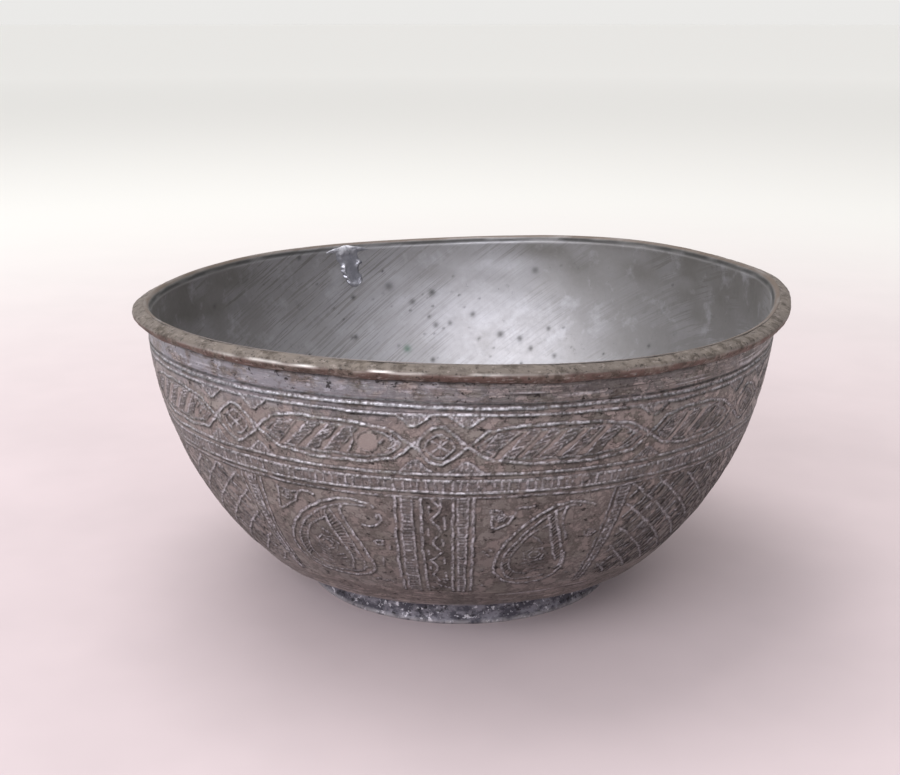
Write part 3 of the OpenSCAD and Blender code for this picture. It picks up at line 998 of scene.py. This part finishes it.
rim = {
    # section of the rolled bead from the crease under it to the inside of the wall
    "bead": [(77.0, 69.95), (77.12, 70.35), (77.42, 70.25), (77.6, 69.98), (78.15, 69.95), (79.0, 70.25),
             (79.75, 70.8), (80.15, 71.4), (80.28, 72.0), (80.1, 72.5), (79.5, 72.88), (78.7, 73.2),
             (78.0, 73.44), (77.6, 73.5), (77.15, 73.34), (76.7, 72.96), (76.35, 72.36), (76.1, 71.7)],
    "middle": (78.0, 71.4),
    "step": 0.24,
    "glintFrom": -34,     # the painted highlight on the worn edge runs between these azimuths
    "glintTo": 4,
    "rough": 0.10,       # how uneven the hammered bead is
}


def resample(points, step):
    # the same line with a point at each step along it
    pts = np.array(points, float)
    lengths = np.concatenate([[0], np.cumsum(np.hypot(*np.diff(pts, axis=0).T))])
    s = np.arange(0, lengths[-1], step)
    return np.stack([np.interp(s, lengths, pts[:, 0]), np.interp(s, lengths, pts[:, 1])], -1)


beadLine = resample(rounded(rim["bead"], times=1), rim["step"])
beadRows = len(beadLine)
beadSize = (beadRows, shape[1])
uneven = softNoise(*beadSize, 8, 26) + 0.6 * softNoise(*beadSize, 4, 7) + 0.35 * softNoise(*beadSize, 2, 3)
lowerFace = smooth(-beadLine[:, 1], -71.9, -70.6)[:, None] * smooth(beadLine[:, 0], 77.3, 78.0)[:, None]
uneven = uneven + 2.6 * lowerFace * softNoise(1, shape[1], 1, 34) + 0.8 * softNoise(1, shape[1], 1, 60)
uneven = rim["rough"] * uneven
outwards = beadLine - np.array(rim["middle"])
outwards /= np.linalg.norm(outwards, axis=1)[:, None]
beadR = beadLine[:, :1] + outwards[:, :1] * uneven
beadZ = beadLine[:, 1:] + outwards[:, 1:] * uneven

# bowl shell: engraved outside, bead, plain inside and floor, closed by two small caps
innerArc = np.arange(0.3, wallLength, 4.0)
innerArc = np.concatenate([innerArc, np.linspace(wallLength, wallLength + bendLength, 6)])
innerR, innerZ = wallPoint(innerArc, bowl["sheet"])
floorR = np.array([40.0, 30.0, 20.0, 10.0, 3.0])
insideZ = np.full(len(floorR), underside + bowl["sheet"])
row = np.zeros((1, shape[1]))
plainR = np.concatenate([innerR, floorR, floorR[::-1]])[:, None] + row
plainZ = np.concatenate([innerZ, insideZ, insideZ - bowl["sheet"]])[:, None] + row
shellR = np.vstack([wallR[::-1], beadR, plainR])
shellZ = np.vstack([wallZ[::-1], beadZ, plainZ])
count = len(shellR)
hub = count - len(floorR) - 1  # last row of the inside, the caps close this row and the next
faces = gridFaces(count, shape[1], roundRows=True).reshape(count, shape[1], 4)
faces = np.delete(faces, hub, axis=0).reshape(-1, 4)
hubRow = np.arange(shape[1])
caps = [hubRow[None, :] + hub * shape[1], hubRow[None, ::-1] + (hub + 1) * shape[1]]
shell = writeMesh("engravedBowlShell", bent(azimuth + 0 * shellR, shellR, shellZ), [faces] + caps)

signedAz = (azimuth + 180) % 360 - 180
# painted highlight: a broken near-white glint along the worn outer corner of the bead, strongest at the front
# left, and bright specks on its lower face
edgeWearGlint = np.exp(-((beadLine[:, 0] - 80.25) / 0.28) ** 2) * np.exp(-((beadLine[:, 1] - 72.15) / 0.27) ** 2)
along = smooth(signedAz, rim["glintFrom"] - 8, rim["glintFrom"] + 12)
along = along * smooth(-signedAz, -rim["glintTo"] - 6, -rim["glintTo"] + 8)
broken = np.clip(0.6 + 1.2 * softNoise(*beadSize, 3, 14), 0, 1) * (0.12 + 0.88 * along)
specks = np.clip(softNoise(*beadSize, 2, 4) * 2.5 - 1.5, 0, 1) * lowerFace * 0.35
# painted shade in the crease under the bead and on its inner side, with dark dirt spots over the bead
creaseShade = (1 - smooth(beadLine[:, 0], 78.2, 79.3)) * (beadLine[:, 1] < 71)
innerEdgeShade = 0.7 * (beadLine[:, 0] < 77.2) * (beadLine[:, 1] > 71)
beadShadeAndDirt = (creaseShade + innerEdgeShade)[:, None] + 0.35 * np.clip(softNoise(*beadSize, 4, 8) - 0.3, 0, 1)
# channels: pale grit, dark dirt with painted shadow, rubbed copper and the painted highlight on the bead
# edge, and whether it is the bead
tones = np.zeros((count, shape[1], 4), np.float32)
onWall, onRim = slice(0, shape[0]), slice(shape[0], shape[0] + beadRows)
for channel, layer in enumerate((gritMap, shadowAndDirtMap, wearMap)):
    tones[onWall, :, channel] = np.clip(layer[::-1], 0, 1)
tones[onRim, :, 1] = np.clip(beadShadeAndDirt, 0, 1)
tones[onRim, :, 2] = np.clip(edgeWearGlint[:, None] * broken + specks, 0, 1)
tones[onRim, :, 3] = 1
paint(shell, "cuts", tones)
finishPiece(shell, raisedCopper, "bowl_shell")

wire = {
    "columns": 360,
    "sides": 12,
    "clear": 0.1,   # mm between it and the rolled edge
    "skin": "#6b4a3a",
    "layers": [("#8d6650", 4, (1, 1, 1), 4, 0.44, 0.60, 1.0, None)],
    "grains": [(1.1, 1.0)],
    "bump": 0.4,
    "bumpDepth": 0.1,
    "roughness": 0.45,
    "metallic": 0.9,
}
# Drawn copper wire that the rim is rolled over, brown where air has reached it
wireA = np.arange(wire["columns"])[None, :] * 360 / wire["columns"]
wireTurn = np.linspace(0, 2 * np.pi, wire["sides"], endpoint=False)[:, None]
wireRadius = (wireHigh.z - wireLow.z) / 2 - wire["clear"]
wireR = wireX + wireRadius * np.cos(wireTurn) + 0 * wireA
wirePoints = bent(wireA + 0 * wireTurn, wireR, wireZ + wireRadius * np.sin(wireTurn))
wirePiece = writeMesh("rimWireRing", wirePoints, [gridFaces(wire["sides"], wire["columns"], roundRows=True)])
finishPiece(wirePiece, wornMaterial("drawnCopperWire", wire), "rim_wire")

lining = {
    "columns": 1000,
    "rowStep": 0.55,
    "ripple": 0.05,
    # where the tin has run up over the inner lip
    "lip": [(75.84, 71.6), (75.98, 72.35), (76.3, 72.95), (76.8, 73.4), (77.25, 73.58), (77.6, 73.6)],
    "lipBack": [(77.6, 73.45), (77.15, 73.3), (76.75, 72.95), (76.4, 72.4), (76.15, 71.8)],
    "pits": 170,
    "cluster": (183, 22),   # azimuth and spread of the thickest pits
    "verdigris": (193.5, 40.3, 1.1, 0.75),   # azimuth, height, size and strength of one green spot
    # azimuth, height and size of the larger pits
    "blots": [(186, 47, 0.9), (197, 59.5, 1.3), (170, 44, 1.0), (191.5, 54.4, 0.9), (182.5, 47.6, 0.7),
              (165, 43.4, 0.9), (162, 40.7, 0.7), (177, 50, 0.8), (158, 47, 0.6)],
    "streaks": (206, 24),   # azimuth and spread of the wiping streaks
}
liningArc = np.concatenate([[0.0, 0.25], np.arange(0.6, wallLength + bendLength, lining["rowStep"])])
faceR, faceZ = wallPoint(liningArc, bowl["sheet"] + bowl["tin"])
backR, backZ = wallPoint(liningArc, bowl["sheet"] + 0.02)
flat = np.arange(float(faceR[-1]) - lining["rowStep"], 0.6, -lining["rowStep"])
lipR, lipZ = np.array(rounded(lining["lip"], times=1)[::-1]).T
lipBackR, lipBackZ = np.array(lining["lipBack"]).T
faceZ = np.concatenate([lipZ, faceZ[1:], np.full(len(flat), faceZ[-1])])
faceR = np.concatenate([lipR, faceR[1:], flat])
backZ = np.concatenate([lipBackZ, backZ[1:], np.full(len(flat[::12]), backZ[-1])])
backR = np.concatenate([lipBackR, backR[1:], flat[::12]])
liningA = np.arange(lining["columns"]) * 360 / lining["columns"]
faceSize = (len(faceR), lining["columns"])
offCentre = smooth(faceR, 4, 32)[:, None]   # what varies with the azimuth fades out towards the middle
ripple = lining["ripple"] * offCentre * (softNoise(*faceSize, 14, 22) + 0.4 * softNoise(*faceSize, 4, 6))
inR = faceR[:, None] - ripple * 0.7
inZ = faceZ[:, None] + ripple * 0.7
liningR = np.vstack([backR[::-1, None] + 0 * liningA, inR])
liningZ = np.vstack([backZ[::-1, None] + 0 * liningA, inZ])
count = len(liningR)
capRow = np.arange(lining["columns"])
caps = [capRow[None, ::-1], capRow[None, :] + (count - 1) * lining["columns"]]
liningPiece = writeMesh("wipedTinLining", bent(liningA + 0 * liningR, liningR, liningZ),
                        [gridFaces(count, lining["columns"])] + caps)

px, py = inR * np.sin(np.radians(liningA)), -inR * np.cos(np.radians(liningA))


def spotOn(layer, spotAz, k, size, strength):
    # a soft round mark on row k of the lining
    cx, cy = faceR[k] * math.sin(math.radians(spotAz)), -faceR[k] * math.cos(math.radians(spotAz))
    near = slice(max(0, k - 10), k + 10)
    d = np.sqrt((px[near] - cx) ** 2 + (py[near] - cy) ** 2 + (inZ[near] - faceZ[k]) ** 2)
    layer[near] = np.maximum(layer[near], strength * np.exp(-(d / size) ** 2))


pits, stains = np.zeros(faceSize), np.zeros(faceSize)
for n in range(lining["pits"]):
    spotAz = rng.normal(*lining["cluster"]) if n % 2 else rng.uniform(0, 360)
    row = rng.integers(24, len(faceR) // 2 + 30) if n % 2 else rng.integers(6, len(faceR) - 1)
    size, strength = rng.choice([0.35, 0.5, 0.7, 1.0], p=[0.4, 0.3, 0.2, 0.1]), rng.uniform(0.2, 0.8)
    spotOn(pits, spotAz, row, size, strength * float(smooth(faceR[row], 3, 26)))
spots = [(stains, *lining["verdigris"])] + [(pits, *blot, 0.55) for blot in lining["blots"]]
for layer, spotAz, height, size, strength in spots:
    row = len(lipR) + int(np.argmin(np.abs(faceZ[len(lipR):] - height)))
    spotOn(layer, spotAz, row, size, strength)
lipBrown = smooth(faceZ, 72.9, 73.3)[:, None]
# painted shade with worn tin: a dark band on the inner side of the lip, under the copper line
lipShadeAndWear = smooth(faceZ, 71.9, 72.3)[:, None] - lipBrown
lipShadeAndWear = lipShadeAndWear * np.clip(0.9 + 0.4 * softNoise(*faceSize, 3, 10), 0, 1)
streakAz = np.abs((liningA - lining["streaks"][0] + 180) % 360 - 180) / lining["streaks"][1]
# channels: pits with the painted shade on the lip, wiping streaks, dullness with the painted shade on the
# side walls, and the green or brown stains
marks = np.zeros((count, lining["columns"], 4), np.float32)
onFace = slice(len(backR), count)
marks[onFace, :, 0] = np.maximum(pits, 0.9 * lipShadeAndWear)
wipedShare = 0.4 * softNoise(*faceSize, 9, 16) + 0.75 * np.exp(-streakAz ** 2)
marks[onFace, :, 1] = np.clip(0.12 + offCentre * wipedShare, 0, 1)
topDull = smooth(faceZ, 52, 70)[:, None] * smooth(-faceZ, -71.9, -70.9)[:, None]
# painted shade: the left and right walls of the lining made darker
aside = np.sin(np.radians(liningA))
sideShade = np.clip(-aside * 1.05 - 0.05, 0, 1) + np.clip(aside * 1.15, 0, 1)
bottomDull = 0.6 * smooth(-faceR, -42, -22)[:, None]
dullAndShadeShare = topDull * (0.35 + 0.4 * softNoise(*faceSize, 8, 20)) + 0.75 * sideShade * offCentre + bottomDull
marks[onFace, :, 2] = np.clip(dullAndShadeShare, 0, 1)
brownShare = 0.85 * lipBrown * np.clip(0.95 + 0.4 * softNoise(*faceSize, 3, 12), 0, 1)
marks[onFace, :, 3] = np.maximum(stains, brownShare)
paint(liningPiece, "wipes", marks)
finishPiece(liningPiece, wipedTin, "tin_lining")

repairMid = (repairLow + repairHigh) / 2
repair = {
    "azimuth": math.degrees(math.atan2(repairMid.x, -repairMid.y)),
    "rows": 110,
    "columns": 72,
    "from": 1.2,       # length down the lining where the run starts and ends
    "to": 14.5,
    "wide": 3.7,       # half width at the top
    "lean": -0.9,      # degrees that it drifts on its way down
    "tails": 3.5,      # tin drawn out along the rim on both sides
    "thick": 0.55,
    "skin": "#a0a0a9",
    "layers": [
        ("#86868e", 2.6, (1, 1, 1), 4, 0.42, 0.62, 0.8, None),
        # near white on the ridges: painted highlight
        ("#e6e5ec", 1.6, (1, 1, 1), 4, 0.30, 0.60, 1.0, "ridgeHighlights"),
        ("#605f63", 1.0, (1, 1, 1), 4, 0.62, 0.70, 0.6, None),
    ],
    "painted": "ridgeHighlights",
    "grains": [(0.6, 0.5), (2.4, 1.0)],
    "bump": 0.6,
    "bumpDepth": 0.15,
    "roughness": 0.40,
    "metallic": 0.85,
}
# Soft solder run on with an iron to mend the rim: dull grey like the tin beside it, with painted highlights
# on its lumpy ridges
v = np.linspace(-1, 1, repair["rows"])[:, None]
u = np.linspace(-1, 1, repair["columns"])[None, :]
faceLength = np.concatenate([[0], np.cumsum(np.hypot(np.diff(faceR), np.diff(faceZ)))])
slope = np.gradient(faceZ, faceLength), -np.gradient(faceR, faceLength)
ends = np.sqrt(np.clip(1 - np.abs(v) ** 9, 0, 1))
wide = repair["wide"] * (0.70 + 0.30 * smooth(v, -0.9, 0.7)) * ends
wide = wide + repair["tails"] * np.exp(-((v - 0.86) / 0.05) ** 2)
wander = 0.7 * softNoise(repair["rows"], 3, 13, 1)[:, :1]
wander = wander + 0.35 * u * softNoise(repair["rows"], 3, 8, 1)[:, 1:2]
runA = repair["azimuth"] + repair["lean"] * -v + np.degrees((u * wide + wander) / 75.5)
downwards = (1 - v * np.sqrt(np.clip(1 - 0.3 * u ** 4, 0, 1))) / 2
runAt = repair["from"] + (repair["to"] - repair["from"]) * downwards
lumps = softNoise(repair["rows"], repair["columns"], 13, 14)
body = np.clip(1 - np.abs(u) ** 8, 0, 1) * np.clip(1 - np.abs(v) ** 14, 0, 1)
ridge = np.exp(-((u - 0.68) / 0.24) ** 2)
ridge = ridge + 0.9 * np.exp(-((u + 0.75) / 0.2) ** 2) * smooth(np.sin(7 * v + 1), -0.2, 0.8)
ridge = ridge + 1.2 * smooth(v, 0.45, 0.75) * np.exp(-(u - 0.3) ** 2) + 0.6 * np.exp(-((v + 0.85) / 0.1) ** 2)
ridge = np.clip(ridge * (0.65 + 0.6 * lumps), 0, 1.2)
thinTails = 1 - 0.6 * smooth(np.abs(u) * wide, repair["wide"], repair["wide"] + 2)
thick = repair["thick"] * body * (0.3 + 0.9 * ridge) * thinTails
runR, runZ = np.interp(runAt, faceLength, faceR), np.interp(runAt, faceLength, faceZ)
towardsR, towardsZ = np.interp(runAt, faceLength, slope[0]), np.interp(runAt, faceLength, slope[1])
front = bent(runA, runR + towardsR * (thick + 0.03), runZ + towardsZ * (thick + 0.03))
back = bent(runA, runR - towardsR * 0.04, runZ - towardsZ * 0.04)
cols, total = repair["columns"], repair["rows"] * repair["columns"]
quads = gridFaces(repair["rows"], cols, roundCols=False)
index = np.arange(total).reshape(-1, cols)
edge = np.concatenate([index[0], index[1:, -1], index[-1, -2::-1], index[-2:0:-1, 0]])
nextEdge = np.roll(edge, -1)
sides = np.stack([edge, edge + total, nextEdge + total, nextEdge], -1)
runPoints = np.vstack([front.reshape(-1, 3), back.reshape(-1, 3)])
run = writeMesh("rimRepairSolder", runPoints, [quads, quads[:, ::-1] + total, sides])
paint(run, "ridgeHighlights", np.tile(np.clip(ridge, 0, 1).reshape(-1, 1), (2, 4)))
finishPiece(run, wornMaterial("softSolderRun", repair), "rim_repair_solder")

seamMid = (seamLow + seamHigh) / 2
foot = {
    "columns": 800,
    "seam": math.degrees(math.atan2(seamMid.x, -seamMid.y)) % 360,
    "seamWide": 0.8,
    "thick": 1.3,
    "splay": 1.1,
    "skin": "#514f58",
    "layers": [
        ("#8b8891", 4, (1, 1, 1.5), 4, 0.46, 0.58, 0.9, None),
        ("#e2dfe6", 1.3, (1, 1, 1), 4, 0.58, 0.64, 0.85, None),
        ("#1f1d20", 2.2, (1, 1, 1.5), 4, 0.55, 0.62, 0.75, None),
        # darker towards the top of the strip: painted shade under the overhanging bowl
        ("#232125", 5.0, (1, 1, 1), 3, 0.30, 0.55, 0.6, "high"),
        ("#b5b0b2", 2.0, (1, 1, 1), 4, 0.30, 0.55, 0.9, "edge"),
    ],
    "heights": {"edge": (1.4, 0.2), "high": (4.5, 9)},  # mm where each starts and where it is full
    "grains": [(1.1, 0.8), (3.0, 0.6)],
    "bump": 0.75,
    "bumpDepth": 0.2,
    "roughness": 0.6,
    "metallic": 0.55,
}
# Foot strip of tin-washed copper gone blue-grey and matt, with pale dust of old tin, dark pits, a rubbed
# lower edge and painted shade along its top under the bowl
footR, footTop = footHigh.x, footHigh.z
halfSeam = math.degrees(foot["seamWide"] / 2 / footR)
footInner = footR - foot["thick"]
neck = footR - foot["splay"]   # outer radius at the bowl
neckInner = neck - foot["thick"]
footLine = [(neck, footTop), (neck + 0.5, footTop * 0.6), (footR - 0.22, 1.4), (footR - 0.02, 0.55),
            (footR - 0.12, 0.12), (footR - 0.4, 0.0), (footInner + 0.35, 0.0), (footInner + 0.05, 0.2),
            (footInner - 0.1, 1.2), (neckInner + 0.44, footTop * 0.5), (neckInner, footTop)]
section = resample(footLine + footLine[:1], 0.42)
out = section - section.mean(0)
out[:, 1] *= 0.15
out /= np.linalg.norm(out, axis=1)[:, None]
off = (section[:, 1] > 0.3)[:, None] * 1.0             # the lower edge stays flat on the table
offZ = off * (section[:, 1] < footTop - 0.1)[:, None]  # and the upper edge stays on the bowl
sectionCols = len(section)


def footStrip(name, stripA, rough, material, node):
    # a length of the foot section along the given azimuths, closed at both ends
    r = section[:, :1] + out[:, :1] * rough * off
    z = np.minimum(section[:, 1:] + out[:, 1:] * rough * offZ, footTop)
    n = len(stripA)
    first = np.arange(sectionCols)[None, :] * n
    quads = gridFaces(sectionCols, n, roundRows=True, roundCols=False)
    piece = writeMesh(name, bent(stripA + 0 * r, r, z), [quads[:, ::-1], first[:, ::-1], first + n - 1])
    finishPiece(piece, material, node)


solder = {
    "skin": "#67666c",
    "layers": [
        ("#8f8d94", 4, (1, 1, 1), 4, 0.44, 0.60, 1.0, None),
        ("#c9c6cd", 1.2, (1, 1, 1), 4, 0.58, 0.66, 0.6, None),
        ("#2a282b", 2.4, (1, 1, 1), 4, 0.55, 0.64, 0.8, None),
    ],
    "grains": [(1.1, 1.0)],
    "bump": 0.7,
    "bumpDepth": 0.2,
    "roughness": 0.58,
    "metallic": 0.6,
    "reach": 2.2,    # along the bowl
    "tall": 2.4,     # down the foot
    "uneven": 0.2,
    "columns": 720,
}
# Old soft solder, wiped and dulled
footSolder = wornMaterial("dulledFootSolder", solder)
stripA = foot["seam"] + halfSeam + np.linspace(0, 360 - 2 * halfSeam, foot["columns"])
footSize = (sectionCols, foot["columns"])
rough = 0.07 * softNoise(*footSize, 4, 9) + 0.05 * softNoise(*footSize, 2, 3)
rough = rough + 0.10 * softNoise(*footSize, 14, 40)
footStrip("footRing", stripA, rough, wornMaterial("tinWashedCopperStrip", foot), "foot_ring")
seamA = foot["seam"] + np.linspace(-halfSeam, halfSeam, 5)
seamCrown = 0.08 * np.cos(np.linspace(-1.5, 1.5, 5))[None, :]
footStrip("footSeamSolder", seamA, seamCrown, footSolder, "foot_seam_solder")


def solderFillet(name, node, side):
    # uneven bead of solder in the corner between foot and bowl, side 1 outside and -1 inside
    a = np.arange(solder["columns"]) * 360 / solder["columns"]
    size = 1 - solder["uneven"] * (1 - softNoise(1, len(a), 1, 24))
    corner = neck if side > 0 else neckInner
    lean = foot["splay"] * solder["tall"] / footTop
    s = np.linspace(0, 1, 9)[:, None]
    r = corner + side * ((1 - s) ** 1.7 * solder["reach"] * size + 0.05) + lean * s
    z = footTop - s ** 1.7 * solder["tall"] * size
    r = np.vstack([r, corner + lean * size * 0.9, corner + 0 * size])
    z = np.vstack([z, footTop - solder["tall"] * size * 0.98, footTop + 0 * size])
    faces = gridFaces(len(r), len(a), roundRows=True)
    piece = writeMesh(name, bent(a + 0 * r, r, z), [faces[:, ::-side]])
    finishPiece(piece, footSolder, node)


solderFillet("footSolderOuter", "foot_solder_outer", 1)
solderFillet("footSolderInner", "foot_solder_inner", -1)
